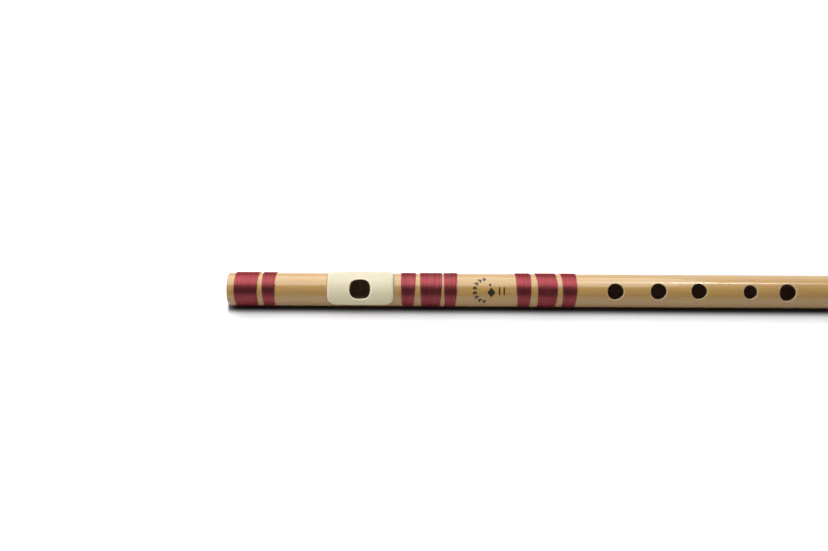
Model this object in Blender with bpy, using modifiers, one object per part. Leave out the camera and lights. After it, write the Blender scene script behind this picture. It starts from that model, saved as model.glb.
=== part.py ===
"""Transverse flute of the bansuri kind: a tube with an embouchure hole, six finger holes, a glued lip plate,
a cork stopper in the head and ten thread bindings.

The flute lies on its bindings, rolled so that its holes look up and towards -Y. Its tube runs along X with the
head at -X. Every piece is built upright, holes towards +Z, under an empty that carries the roll. Lengths are in
metres, and places along the tube are measured from its head end.
"""

import math

import bmesh
import bpy
from mathutils import Matrix

# Tube
TUBE_LENGTH = 0.4064
TUBE_RADIUS = 0.019050 / 2
BORE_RADIUS = 0.0155 / 2
END_BEVEL = 0.0006
BORE_BEVEL = 0.0004
TUBE_SIDES = 48

# Holes: place from the head end and diameter
FINGER_HOLES = (
    (0.2202, 0.00875),
    (0.2445, 0.00890),
    (0.2674, 0.00865),
    (0.2963, 0.00740),
    (0.3173, 0.00910),
    (0.3496, 0.00800),
)
FINGER_RIM = 0.00035
EMBOUCHURE_PLACE = 0.0756
EMBOUCHURE_LENGTH = 0.0115
EMBOUCHURE_WIDTH = 0.0109
EMBOUCHURE_SQUARENESS = 2.7
EMBOUCHURE_RIM = 0.00025
FINGER_HOLE_SIDES = 24
EMBOUCHURE_SIDES = 36

# Lip plate: a curved plate glued round the embouchure, further round on the far side than on the lip side
PLATE_START = 0.0571
PLATE_END = 0.0946
PLATE_RADIUS = 0.01065
PLATE_THICKNESS = 0.000825
PLATE_NEAR_ANGLE = math.radians(-57)
PLATE_FAR_ANGLE = math.radians(85)
PLATE_CORNER = 0.0048
PLATE_EDGE = 0.00025
PLATE_CORNER_ROWS = 5
PLATE_MIDDLE_ROWS = 12
PLATE_COLUMNS = 4

# Cork stopper: its face stands this far on the head side of the embouchure's centre
STOPPER_FACE = 0.0130
STOPPER_LENGTH = 0.0180
STOPPER_RADIUS = 0.00745
STOPPER_EDGE = 0.0005
STOPPER_SIDES = 32

# Thread bindings: name, start and end from the head end
BINDINGS = (
    ("head_binding_wide", 0.0039, 0.0175),
    ("head_binding_narrow", 0.0198, 0.0274),
    ("lip_binding_near", 0.0989, 0.1067),
    ("lip_binding_wide", 0.1097, 0.1219),
    ("lip_binding_far", 0.1232, 0.1306),
    ("hand_binding_near", 0.1643, 0.1724),
    ("hand_binding_wide", 0.1759, 0.1874),
    ("hand_binding_far", 0.1900, 0.1984),
    ("foot_binding_narrow", 0.3790, 0.3866),
    ("foot_binding_wide", 0.3889, 0.4025),
)
BINDING_RADIUS = 0.00993
BINDING_INNER_RADIUS = 0.00942
THREAD_PITCH = 0.0013
THREAD_RELIEF = 0.0002
THREAD_STEPS = 22
SEAT_RADIUS = 0.00903
SEAT_CLEARANCE = 0.0003

# Lie of the flute on the floor: the bindings are pressed flat by a tenth of a thread where they touch it
ROLL = math.radians(45)
THREAD_FLAT = THREAD_PITCH / 10
AXIS_HEIGHT = BINDING_RADIUS - THREAD_FLAT
AXIS_OFFSET = (PLATE_RADIUS - BINDING_RADIUS) / 2

MERGE_DISTANCE = 0.00001
SHARP_ANGLE = math.radians(35)

# Colour, roughness and metallic value of each material
TUBE_FINISH = ((0.66, 0.46, 0.24), 0.32, 0.0)
PLATE_FINISH = ((0.83, 0.76, 0.58), 0.38, 0.0)
CORK_FINISH = ((0.52, 0.34, 0.19), 0.85, 0.0)
THREAD_FINISH = ((0.36, 0.05, 0.06), 0.42, 0.0)


def from_head(place):
    """Turns a place measured from the head end into X."""
    return place - TUBE_LENGTH / 2


def clear_scene():
    """Removes every object that the file holds."""
    for old in list(bpy.data.objects):
        bpy.data.objects.remove(old, do_unlink=True)


def new_collection(name):
    """Makes a collection in the scene."""
    collection = bpy.data.collections.new(name)
    bpy.context.scene.collection.children.link(collection)
    return collection


def new_material(name, finish):
    """Makes a Principled material from a colour, a roughness and a metallic value."""
    colour, roughness, metallic = finish
    material = bpy.data.materials.new(name)
    material.use_nodes = True
    shader = material.node_tree.nodes["Principled BSDF"]
    shader.inputs["Base Color"].default_value = (*colour, 1.0)
    shader.inputs["Roughness"].default_value = roughness
    shader.inputs["Metallic"].default_value = metallic
    return material


def new_object(name, mesh, collection, parent):
    """Makes an object from a mesh, under the empty that carries the flute's roll."""
    piece = bpy.data.objects.new(name, mesh)
    collection.objects.link(piece)
    piece.parent = parent
    return piece


def hide_cutter(cutter):
    """Marks a cutter, which is no piece of the flute."""
    cutter.hide_render = True
    cutter.display_type = "WIRE"


def finish_piece(piece, material):
    """Gives a piece its material and smooth shading between its sharp edges."""
    piece.data.materials.append(material)
    piece.data.shade_smooth()
    piece.data.set_sharp_from_angle(angle=SHARP_ANGLE)


def mesh_from_bmesh(name, bm):
    """Writes a bmesh into a new mesh and frees it."""
    mesh = bpy.data.meshes.new(name)
    bm.to_mesh(mesh)
    bm.free()
    return mesh


def profile_mesh(name, points, closed):
    """Makes a profile in the XZ plane from (radius, height) points, in order."""
    edges = [(i, i + 1) for i in range(len(points) - 1)]
    if closed:
        edges.append((len(points) - 1, 0))
    mesh = bpy.data.meshes.new(name)
    mesh.from_pydata([(radius, 0.0, height) for radius, height in points], edges, [])
    return mesh


def add_screw(piece, steps, offset=0.0, turns=1):
    """Turns a profile round Z, and along it where an offset a turn is given."""
    screw = piece.modifiers.new("turned", "SCREW")
    screw.axis = "Z"
    screw.steps = steps
    screw.render_steps = steps
    screw.iterations = turns
    screw.screw_offset = offset
    screw.use_merge_vertices = offset == 0.0
    screw.merge_threshold = MERGE_DISTANCE
    return screw


def add_cut(piece, cutter):
    """Cuts a piece with one object."""
    cut = piece.modifiers.new("cut", "BOOLEAN")
    cut.operation = "DIFFERENCE"
    cut.solver = "EXACT"
    cut.object = cutter


def lay_along_tube(piece, place):
    """Lays a piece that was turned round Z along the tube, its height 0 at a place from the head end."""
    piece.location = (from_head(place), 0.0, 0.0)
    piece.rotation_euler = (0.0, math.radians(90), 0.0)


def tube_profile():
    """Gives the tube's section: down its outer side with a seat for each binding, and back up the bore."""
    half = TUBE_LENGTH / 2
    points = [(TUBE_RADIUS - END_BEVEL, half), (TUBE_RADIUS, half - END_BEVEL)]
    for _, start, end in reversed(BINDINGS):
        upper = from_head(end) + SEAT_CLEARANCE
        lower = from_head(start) - SEAT_CLEARANCE
        points += [(TUBE_RADIUS, upper), (SEAT_RADIUS, upper), (SEAT_RADIUS, lower), (TUBE_RADIUS, lower)]
    points += [(TUBE_RADIUS, END_BEVEL - half), (TUBE_RADIUS - END_BEVEL, -half)]
    points += [(BORE_RADIUS + BORE_BEVEL, -half), (BORE_RADIUS, BORE_BEVEL - half)]
    points += [(BORE_RADIUS, half - BORE_BEVEL), (BORE_RADIUS + BORE_BEVEL, half)]
    return points


def hole_outline(length, width, squareness, sides):
    """Gives the outline of a hole as a superellipse, which is an ellipse at a squareness of 2."""
    outline = []
    for i in range(sides):
        turn = 2 * math.pi * i / sides
        c, s = math.cos(turn), math.sin(turn)
        power = 2 / squareness
        outline.append((
            math.copysign(abs(c) ** power, c) * length / 2,
            math.copysign(abs(s) ** power, s) * width / 2,
        ))
    return outline


def grown(outline, amount):
    """Moves each point of an outline away from its centre by the same amount."""
    result = []
    for x, y in outline:
        reach = math.hypot(x, y)
        result.append((x * (reach + amount) / reach, y * (reach + amount) / reach))
    return result


def hole_cutter(name, place, outline, surface_radius, rim, collection, parent):
    """Lofts a drill whose mouth flares where it leaves the round surface, so that the hole gets an eased rim."""
    def on_surface(points, lift):
        return [(x, y, math.sqrt(surface_radius ** 2 - y ** 2) + lift) for x, y in points]

    wide = grown(outline, 2 * rim)
    top = surface_radius + 0.002
    rings = [
        [(x, y, 0.0) for x, y in outline],
        on_surface(outline, -rim),
        on_surface(wide, rim),
        [(x, y, top) for x, y in wide],
    ]
    bm = bmesh.new()
    loops = [[bm.verts.new(point) for point in ring] for ring in rings]
    sides = len(outline)
    for lower, upper in zip(loops, loops[1:]):
        for i in range(sides):
            j = (i + 1) % sides
            bm.faces.new((lower[i], lower[j], upper[j], upper[i]))
    bm.faces.new(list(reversed(loops[0])))
    bm.faces.new(loops[-1])
    cutter = new_object(name, mesh_from_bmesh(name, bm), collection, parent)
    cutter.location = (from_head(place), 0.0, 0.0)
    hide_cutter(cutter)
    return cutter


def build_tube(embouchure, collection, cutters, parent):
    """Builds the tube with its bore, the seats of its bindings, the embouchure and the finger holes."""
    tube = new_object("flute_tube", profile_mesh("flute_tube", tube_profile(), True), collection, parent)
    add_screw(tube, TUBE_SIDES)
    tube.rotation_euler = (0.0, math.radians(90), 0.0)
    add_cut(tube, embouchure)
    for number, (place, diameter) in enumerate(FINGER_HOLES, 1):
        outline = hole_outline(diameter, diameter, 2.0, FINGER_HOLE_SIDES)
        name = f"finger_hole_cutter_{number}"
        add_cut(tube, hole_cutter(name, place, outline, TUBE_RADIUS, FINGER_RIM, cutters, parent))
    finish_piece(tube, new_material("tube_finish", TUBE_FINISH))


def plate_rows():
    """Gives the arc lengths of the lip plate's rows, closer together where its corners turn."""
    low = PLATE_RADIUS * PLATE_NEAR_ANGLE
    high = PLATE_RADIUS * PLATE_FAR_ANGLE
    steps = [math.pi / 2 * i / PLATE_CORNER_ROWS for i in range(PLATE_CORNER_ROWS)]
    lead_in = [PLATE_CORNER * (1 - math.cos(step)) for step in steps]
    middle = high - low - 2 * PLATE_CORNER
    rows = [low + step for step in lead_in]
    rows += [low + PLATE_CORNER + middle * i / PLATE_MIDDLE_ROWS for i in range(PLATE_MIDDLE_ROWS + 1)]
    rows += [high - step for step in reversed(lead_in)]
    return rows, low, high


def build_lip_plate(embouchure, collection, parent):
    """Builds the lip plate: a rounded rectangle bent round the tube, thickened inwards and pierced."""
    rows, low, high = plate_rows()
    half_length = (PLATE_END - PLATE_START) / 2
    bm = bmesh.new()
    bmesh.ops.create_grid(bm, x_segments=PLATE_COLUMNS, y_segments=len(rows) - 1, size=1.0)
    for vert in bm.verts:
        arc = rows[round((vert.co.y + 1) / 2 * (len(rows) - 1))]
        into_corner = max(0.0, low + PLATE_CORNER - arc, arc - high + PLATE_CORNER)
        reach = half_length - PLATE_CORNER + math.sqrt(max(0.0, PLATE_CORNER ** 2 - into_corner ** 2))
        angle = arc / PLATE_RADIUS
        vert.co = (vert.co.x * reach, PLATE_RADIUS * math.sin(angle), PLATE_RADIUS * math.cos(angle))
    plate = new_object("lip_plate", mesh_from_bmesh("lip_plate", bm), collection, parent)
    plate.location = (from_head((PLATE_START + PLATE_END) / 2), 0.0, 0.0)
    wall = plate.modifiers.new("wall", "SOLIDIFY")
    wall.thickness = PLATE_THICKNESS
    wall.offset = -1.0
    wall.use_even_offset = True
    edge = plate.modifiers.new("edge", "BEVEL")
    edge.width = PLATE_EDGE
    edge.segments = 2
    edge.limit_method = "ANGLE"
    edge.angle_limit = math.radians(50)
    add_cut(plate, embouchure)
    finish_piece(plate, new_material("plate_finish", PLATE_FINISH))


def build_stopper(collection, parent):
    """Builds the cork that closes the bore on the head side of the embouchure and slides to tune it."""
    bm = bmesh.new()
    bmesh.ops.create_cone(
        bm,
        cap_ends=True,
        segments=STOPPER_SIDES,
        radius1=STOPPER_RADIUS,
        radius2=STOPPER_RADIUS,
        depth=STOPPER_LENGTH,
    )
    stopper = new_object("cork_stopper", mesh_from_bmesh("cork_stopper", bm), collection, parent)
    lay_along_tube(stopper, EMBOUCHURE_PLACE - STOPPER_FACE - STOPPER_LENGTH / 2)
    edge = stopper.modifiers.new("edge", "BEVEL")
    edge.width = STOPPER_EDGE
    edge.segments = 2
    edge.limit_method = "ANGLE"
    edge.angle_limit = math.radians(60)
    finish_piece(stopper, new_material("cork_finish", CORK_FINISH))


def thread_skin(pitch, turns):
    """Turns one thread's ridge along a helix and gives the wound skin, its turns welded edge to edge."""
    valley = BINDING_RADIUS - THREAD_RELIEF
    ridge = [(valley, pitch), (BINDING_RADIUS, pitch / 2), (valley, 0.0)]
    skin = bpy.data.objects.new("thread_skin", profile_mesh("thread_skin", ridge, False))
    bpy.context.scene.collection.objects.link(skin)
    add_screw(skin, THREAD_STEPS, offset=pitch, turns=turns)
    graph = bpy.context.evaluated_depsgraph_get()
    mesh = bpy.data.meshes.new_from_object(skin.evaluated_get(graph))
    bpy.data.objects.remove(skin, do_unlink=True)
    bm = bmesh.new()
    bm.from_mesh(mesh)
    bpy.data.meshes.remove(mesh)
    bmesh.ops.remove_doubles(bm, verts=bm.verts, dist=MERGE_DISTANCE)
    return bm


def trim_and_close(bm, height, keep_below):
    """Cuts a wound sleeve square at a height and closes the ring that the cut leaves open."""
    direction = 1.0 if keep_below else -1.0
    bmesh.ops.bisect_plane(
        bm,
        geom=bm.verts[:] + bm.edges[:] + bm.faces[:],
        dist=MERGE_DISTANCE / 100,
        plane_co=(0.0, 0.0, height),
        plane_no=(0.0, 0.0, direction),
        clear_outer=True,
    )
    rims = [e for e in bm.edges if e.is_boundary and all(abs(v.co.z - height) < MERGE_DISTANCE for v in e.verts)]
    bmesh.ops.triangle_fill(bm, use_beauty=True, edges=rims, normal=(0.0, 0.0, direction))


def build_binding(name, start, end, floor, material, collection, parent):
    """Winds one binding: a single thread laid turn against turn, cut square at its ends and flat at the floor.

    The thread starts half a step early, so that the square cuts fall between the points of its helix.
    """
    width = end - start
    turns = round(width / THREAD_PITCH)
    pitch = width / turns
    bm = thread_skin(pitch, turns + 2)
    early = pitch + pitch / THREAD_STEPS / 2
    bmesh.ops.translate(bm, verts=bm.verts, vec=(0.0, 0.0, -early))
    wall = bmesh.ops.create_cone(
        bm,
        cap_ends=False,
        segments=THREAD_STEPS,
        radius1=BINDING_INNER_RADIUS,
        radius2=BINDING_INNER_RADIUS,
        depth=width + 2 * pitch,
    )
    bmesh.ops.translate(bm, verts=wall["verts"], vec=(0.0, 0.0, width / 2))
    trim_and_close(bm, width, True)
    trim_and_close(bm, 0.0, False)
    bmesh.ops.recalc_face_normals(bm, faces=bm.faces)
    half_step = math.pi / THREAD_STEPS
    bmesh.ops.rotate(bm, verts=bm.verts, matrix=Matrix.Rotation(half_step - ROLL, 3, "Z"))
    binding = new_object(name, mesh_from_bmesh(name, bm), collection, parent)
    lay_along_tube(binding, start)
    add_cut(binding, floor)
    finish_piece(binding, material)
    print(f"{name}: one thread, {turns} turns, crest to crest {pitch * 1000:.3f} mm")


def floor_cutter(collection):
    """Makes the slab below the floor that flattens the bindings where they rest."""
    bm = bmesh.new()
    bmesh.ops.create_cube(bm, size=1.0)
    depth = 0.01
    bmesh.ops.scale(bm, vec=(TUBE_LENGTH * 1.1, 4 * BINDING_RADIUS, depth), verts=bm.verts)
    bmesh.ops.translate(bm, vec=(0.0, 0.0, -depth / 2), verts=bm.verts)
    slab = bpy.data.objects.new("floor_cutter", mesh_from_bmesh("floor_cutter", bm))
    collection.objects.link(slab)
    hide_cutter(slab)
    return slab


def main():
    """Builds the flute."""
    clear_scene()
    pieces = new_collection("bansuri")
    cutters = new_collection("cutters")
    lie = bpy.data.objects.new("lie_of_the_flute", None)
    lie.location = (0.0, AXIS_OFFSET, AXIS_HEIGHT)
    lie.rotation_euler = (ROLL, 0.0, 0.0)
    pieces.objects.link(lie)

    outline = hole_outline(EMBOUCHURE_LENGTH, EMBOUCHURE_WIDTH, EMBOUCHURE_SQUARENESS, EMBOUCHURE_SIDES)
    embouchure = hole_cutter(
        "embouchure_cutter", EMBOUCHURE_PLACE, outline, PLATE_RADIUS, EMBOUCHURE_RIM, cutters, lie
    )
    build_tube(embouchure, pieces, cutters, lie)
    build_lip_plate(embouchure, pieces, lie)
    build_stopper(pieces, lie)

    floor = floor_cutter(cutters)
    for name, start, end in BINDINGS:
        build_binding(name, start, end, floor, new_material(f"{name}_thread", THREAD_FINISH), pieces, lie)


main()
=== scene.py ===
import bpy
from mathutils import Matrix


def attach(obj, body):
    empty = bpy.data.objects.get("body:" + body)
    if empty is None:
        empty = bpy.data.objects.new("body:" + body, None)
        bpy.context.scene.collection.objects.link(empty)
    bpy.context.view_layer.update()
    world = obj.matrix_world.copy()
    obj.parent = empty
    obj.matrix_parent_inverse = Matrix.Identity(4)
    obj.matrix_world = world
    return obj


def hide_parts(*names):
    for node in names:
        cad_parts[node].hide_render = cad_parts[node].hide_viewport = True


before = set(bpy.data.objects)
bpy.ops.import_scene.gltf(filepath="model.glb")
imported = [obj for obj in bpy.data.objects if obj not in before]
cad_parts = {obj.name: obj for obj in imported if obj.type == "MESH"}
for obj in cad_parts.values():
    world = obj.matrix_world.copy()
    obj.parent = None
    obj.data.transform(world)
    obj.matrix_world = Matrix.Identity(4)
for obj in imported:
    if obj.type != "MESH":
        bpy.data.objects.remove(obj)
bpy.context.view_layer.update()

"""Bansuri: a tan side-blown flute wound with red thread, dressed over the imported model.

Every piece is modelled upright, with the tube along +X from its head end and the holes towards +Z,
and is then rolled and set down on its bindings by the same matrix, so it lands where its node is.
"""

import logging
import math
from dataclasses import dataclass, replace
from enum import Enum
from typing import Any

import bmesh
import bpy
from mathutils import Matrix, Vector

MM = 0.001
FULL_TURN = 2 * math.pi
SHARP_ANGLE = math.radians(40)
log = logging.getLogger("bansuri")

Point = tuple[float, float]
Row = list[Vector]
Piece = bpy.types.Object
Tree = bpy.types.NodeTree
Socket = bpy.types.NodeSocket


class Body(Enum):
    """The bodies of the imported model."""

    FLUTE = "flute"
    STOPPER = "stopper"


class Slot(Enum):
    """The material slots of the record."""

    TUBE = "tube"
    LIP_PLATE = "lip_plate"
    CORK = "cork"
    THREAD = "thread"


@dataclass(frozen=True)
class Lie:
    """How the flute lies: rolled so that its holes face the player's eye, resting on its bindings."""

    length: float = 406.4 * MM
    axis_offset: float = 0.36 * MM
    axis_height: float = 9.8 * MM
    roll: float = math.radians(45)

    def matrix(self) -> Matrix:
        """Returns the matrix from the upright flute to the shared frame."""
        place = Matrix.Translation((-self.length / 2, self.axis_offset, self.axis_height))
        return place @ Matrix.Rotation(self.roll, 4, "X")


LIE = Lie()


def linear(code: str) -> tuple[float, float, float, float]:
    """Turns an sRGB hex value to a linear colour.

    Args:
        code: six hex digits.

    Returns:
        Red, green, blue and alpha.
    """
    parts = [int(code[i : i + 2], 16) / 255 for i in (0, 2, 4)]
    red, green, blue = (c / 12.92 if c <= 0.04045 else ((c + 0.055) / 1.055) ** 2.4 for c in parts)
    return red, green, blue, 1.0


def add_node(tree: Tree, kind: str, links: dict[Any, Any] | None = None, **settings: Any) -> bpy.types.Node:
    """Adds a node to a tree.

    Args:
        tree: the tree to add it to.
        kind: the node's type.
        links: for each input, by name or number, a value, or the output that feeds it, or the node
            whose first output feeds it.
        settings: the node's own properties.

    Returns:
        The node.
    """
    node = tree.nodes.new(kind)
    for name, value in settings.items():
        setattr(node, name, value)
    for key, value in (links or {}).items():
        feed = value.outputs[0] if isinstance(value, bpy.types.Node) else value
        if isinstance(feed, Socket):
            tree.links.new(feed, node.inputs[key])
        else:
            node.inputs[key].default_value = feed
    return node


def limits(span: Point, ends: Point = (0.0, 1.0)) -> dict[str, float]:
    """Returns the settings that take a span of a value to two ends."""
    return {"From Min": span[0], "From Max": span[1], "To Min": ends[0], "To Max": ends[1]}


def quarter(steps: int) -> list[float]:
    """Returns the angles from nought to a right angle in equal steps."""
    return [math.pi / 2 * i / steps for i in range(steps + 1)]


def superellipse(half_length: float, half_width: float, squareness: float, count: int) -> list[Point]:
    """Returns the points of a superellipse about its middle.

    Args:
        half_length: its reach along the first axis.
        half_width: its reach along the second axis.
        squareness: 2 for an ellipse, 1 for a lozenge, between them for a leaf, and more for a bar.
        count: how many points it has.

    Returns:
        Its points.
    """
    points = []
    for j in range(count):
        angle = FULL_TURN * j / count
        c, s = math.cos(angle), math.sin(angle)
        x, y = (math.copysign(abs(value) ** (2 / squareness), value) for value in (c, s))
        points.append((x * half_length, y * half_width))
    return points


def on_tube(place: float, radius: float, angle: float) -> Vector:
    """Returns the upright point at a place along the tube, a radius and an angle from the holes."""
    return Vector((place, radius * math.sin(angle), radius * math.cos(angle)))


def laid(outline: list[Point], radius: float) -> Row:
    """Returns an outline of places and angles laid on a round surface."""
    return [on_tube(place, radius, angle) for place, angle in outline]


def between(near: list[Point], far: list[Point], share: float, radius: float) -> Row:
    """Returns the row a share of the way from one outline to another, laid on a round surface."""
    return laid([(a + (c - a) * share, b + (d - b) * share) for (a, b), (c, d) in zip(near, far)], radius)


def rounded_end(run: float, radius: float, side: int, steps: int) -> list[Point]:
    """Returns the profile of an end's rounded edge, from the end face to the wall.

    Args:
        run: how far the edge is rounded.
        radius: the wall's radius.
        side: 1 where the material lies outside that radius, and -1 where it lies inside.
        steps: how many steps it has.

    Returns:
        Distances from the end face, and radii.
    """
    return [(run * (1 - math.cos(a)), radius + side * run * (1 - math.sin(a))) for a in quarter(steps)]


def loft(rows: list[Row], around: bool, along: bool) -> bmesh.types.BMesh:
    """Joins rows of points with faces.

    Args:
        rows: rows of equally many points.
        around: whether each row closes on itself.
        along: whether the last row joins the first.

    Returns:
        The mesh, with its normals facing out.
    """
    bm = bmesh.new()
    grid = [[bm.verts.new(point) for point in row] for row in rows]
    count = len(rows[0])
    for i in range(len(grid) if along else len(grid) - 1):
        near, far = grid[i], grid[(i + 1) % len(grid)]
        for j in range(count if around else count - 1):
            k = (j + 1) % count
            bm.faces.new((near[j], near[k], far[k], far[j]))
    if around and not along:
        bm.faces.new(grid[0])
        bm.faces.new(grid[-1])
    bmesh.ops.recalc_face_normals(bm, faces=bm.faces)
    return bm


def revolve(profile: list[Point], sides: int) -> list[Row]:
    """Returns the rows of a profile of places and radii turned round the tube's axis."""
    angles = [FULL_TURN * j / sides for j in range(sides)]
    return [[on_tube(place, radius, angle) for angle in angles] for place, radius in profile]


def shade(mesh: bpy.types.Mesh) -> None:
    """Shades a mesh smooth, with its sharp edges kept."""
    mesh.shade_smooth()
    mesh.set_sharp_from_angle(angle=SHARP_ANGLE)


def finished(name: str, bm: bmesh.types.BMesh) -> Piece:
    """Turns an upright mesh to a smooth object that lies where its node is.

    Args:
        name: the piece's name.
        bm: its mesh, which is freed.

    Returns:
        The object, at the origin.
    """
    mesh = bpy.data.meshes.new(name)
    bm.to_mesh(mesh)
    bm.free()
    mesh.transform(LIE.matrix())
    shade(mesh)
    piece = bpy.data.objects.new(name, mesh)
    bpy.context.scene.collection.objects.link(piece)
    return piece


def keep_result(piece: Piece) -> None:
    """Turns a piece's modifiers to plain mesh."""
    graph = bpy.context.evaluated_depsgraph_get()
    evaluated = piece.evaluated_get(graph)
    mesh = bpy.data.meshes.new_from_object(evaluated, preserve_all_data_layers=True, depsgraph=graph)
    piece.modifiers.clear()
    old, piece.data = piece.data, mesh
    bpy.data.meshes.remove(old)
    mesh.name = piece.name


def hand_over(piece: Piece, body: Body, slot: Slot, *nodes: str) -> None:
    """Puts a piece on its body, hides the nodes that it stands for, and reports it.

    Args:
        piece: the finished piece.
        body: the body that it rides on.
        slot: the record's slot that it takes its finish from; not used.
        nodes: the nodes that it replaces.
    """
    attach(piece, body.value)
    if nodes:
        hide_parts(*nodes)
    log.info("%s: %d faces on %s", piece.name, len(piece.data.polygons), body.value)


@dataclass(frozen=True)
class Finish:
    """A finish: what every material here starts from."""

    name: str = "finish"

    def material(self) -> bpy.types.Material:
        """Returns the material, made the first time it is asked for."""
        found = bpy.data.materials.get(self.name)
        if found is not None:
            return found
        made = bpy.data.materials.new(self.name)
        made.use_nodes = True
        tree = made.node_tree
        tree.nodes.clear()
        place = add_node(tree, "ShaderNodeTexCoord").outputs["Object"]
        surface = add_node(tree, "ShaderNodeBsdfPrincipled", self.inputs(tree, place))
        add_node(tree, "ShaderNodeOutputMaterial", {"Surface": surface})
        return made

    def inputs(self, tree: Tree, place: Socket) -> dict[str, Any]:
        """Builds the pattern of the finish.

        Args:
            tree: the material's tree.
            place: the coordinates that the pattern is laid on.

        Returns:
            What feeds the surface, by input.
        """
        raise NotImplementedError

    @staticmethod
    def drift(
        tree: Tree,
        place: Any,
        size: float,
        ends: Point = (0.0, 1.0),
        span: Point = (0.0, 1.0),
        detail: float = 3.0,
    ) -> tuple[bpy.types.Node, bpy.types.Node]:
        """Adds a noise of a real size and a value that drifts with it.

        Args:
            tree: the tree to add them to.
            place: what feeds the noise its coordinates.
            size: how large its patches are.
            ends: the two values to drift between.
            span: the part of the noise that takes the value from one to the other.
            detail: how many finer layers it has.

        Returns:
            The drifting value and the bare noise.
        """
        noise = add_node(tree, "ShaderNodeTexNoise", {"Vector": place, "Scale": 1 / size, "Detail": detail})
        return add_node(tree, "ShaderNodeMapRange", {"Value": noise, **limits(span, ends)}), noise

    @staticmethod
    def layered(tree: Tree, ground: str, *layers: tuple[Any, str]) -> Any:
        """Lays colours over a ground colour, one after the other.

        Args:
            tree: the tree to add them to.
            ground: the ground colour in sRGB hex.
            layers: for each layer, what feeds its amount, and its colour in sRGB hex.

        Returns:
            The output that carries the mixed colour.
        """
        colour: Any = linear(ground)
        for amount, code in layers:
            mixed = add_node(tree, "ShaderNodeMix", {0: amount, 6: colour, 7: linear(code)}, data_type="RGBA")
            colour = mixed.outputs[2]
        return colour


@dataclass(frozen=True)
class LacqueredPvc(Finish):
    """Extruded PVC pipe, rubbed smooth and clear lacquered.

    It gives a warm even tan with faint lines along the pipe from the die, a soft broad gloss from
    the rubbed plastic, and a thin sharp glint from the lacquer over it.
    """

    name: str = "lacquered_extruded_pvc"
    tan: str = "C29B58"
    deep: str = "B18843"
    rosy: str = "BE9763"
    # Pale tone round the finger holes: partly wear, partly a painted highlight on the rims.
    pale_rim_tone: str = "E8D3AC"
    die_line: float = 0.45 * MM
    die_line_stretch: float = 0.012
    die_line_span: Point = (0.42, 0.75)
    die_line_ends: Point = (0.0, 0.45)
    die_line_depth: float = 0.02 * MM
    mottle: float = 14 * MM
    mottle_span: Point = (0.35, 0.68)
    handling: float = 3 * MM
    gloss: Point = (0.27, 0.4)
    pale_ring_width: float = 0.7 * MM
    pale_ring_core: float = 0.3
    worn_and_lit_share: float = 0.5

    def inputs(self, tree: Tree, place: Socket) -> dict[str, Any]:
        """Builds the pattern and returns what feeds the surface, by input."""
        stretched = {"Vector": place, "Scale": (self.die_line_stretch, 1.0, 1.0)}
        along = add_node(tree, "ShaderNodeMapping", stretched)
        lined, lines = self.drift(tree, along, self.die_line, self.die_line_ends, self.die_line_span)
        clouds, _ = self.drift(tree, place, self.mottle, span=self.mottle_span, detail=4.0)
        gloss, _ = self.drift(tree, place, self.handling, self.gloss, detail=5.0)
        layers = ((clouds, self.rosy), (lined, self.deep), (self.worn_and_lit_rims(tree, place), self.pale_rim_tone))
        height = {"Height": lines, "Distance": self.die_line_depth, "Strength": 0.5}
        return {
            "Base Color": self.layered(tree, self.tan, *layers),
            "Roughness": gloss,
            "Normal": add_node(tree, "ShaderNodeBump", height),
            "IOR": 1.5,
            "Coat Weight": 0.9,
            "Coat Roughness": 0.08,
            "Coat IOR": 1.5,
        }

    def worn_and_lit_rims(self, tree: Tree, place: Socket) -> bpy.types.Node:
        """Adds how pale each point is round a finger hole's edge: partly wear from the fingers, partly a
        painted highlight on the rim.

        Args:
            tree: the material's tree.
            place: the coordinates.

        Returns:
            The node that carries the amount.
        """
        lie = LIE.matrix()
        turned = {"Vector": place, "Center": lie.to_translation(), "Angle": lie.inverted().to_euler().x}
        upright = add_node(tree, "ShaderNodeVectorRotate", turned, rotation_type="X_AXIS")
        parts = add_node(tree, "ShaderNodeSeparateXYZ", {0: upright}).outputs
        flat = add_node(tree, "ShaderNodeCombineXYZ", {0: parts["X"], 1: parts["Y"]})
        worn: Any = 0.0
        for hole in FINGER_HOLES:
            middle = (hole.place - LIE.length / 2, LIE.axis_offset + hole.across, 0.0)
            span = add_node(tree, "ShaderNodeVectorMath", {0: flat, 1: middle}, operation="DISTANCE")
            edge = hole.length / 2
            pale_ring_span = (edge + self.pale_ring_core * self.pale_ring_width, edge + self.pale_ring_width)
            amount = {"Value": span.outputs["Value"], **limits(pale_ring_span, (self.worn_and_lit_share, 0.0))}
            near = add_node(tree, "ShaderNodeMapRange", amount, interpolation_type="SMOOTHSTEP")
            worn = add_node(tree, "ShaderNodeMath", {0: worn, 1: near}, operation="MAXIMUM")
        height = {0: parts["Z"], 1: LIE.axis_height}
        above = add_node(tree, "ShaderNodeMath", height, operation="GREATER_THAN")
        return add_node(tree, "ShaderNodeMath", {0: worn, 1: above}, operation="MULTIPLY")


@dataclass(frozen=True)
class UnlacqueredPvc(Finish):
    """PVC without the lacquer, darker than the outside: smoked in the bore, and painted shade on the hole
    walls.

    It gives a dull brown with no gloss, a little uneven.
    """

    name: str = "unlacquered_pvc"
    ground_brown: str = "9C836E"
    patch_brown: str = "B89D84"
    patch: float = 2.5 * MM
    patch_depth: float = 0.1 * MM
    dullness: Point = (0.6, 0.9)

    def inputs(self, tree: Tree, place: Socket) -> dict[str, Any]:
        """Builds the pattern and returns what feeds the surface, by input."""
        rough, patch = self.drift(tree, place, self.patch, self.dullness, detail=4.0)
        height = {"Height": patch, "Distance": self.patch_depth, "Strength": 0.6}
        return {
            "Base Color": self.layered(tree, self.ground_brown, (patch, self.patch_brown)),
            "Roughness": rough,
            "Normal": add_node(tree, "ShaderNodeBump", height),
        }


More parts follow.
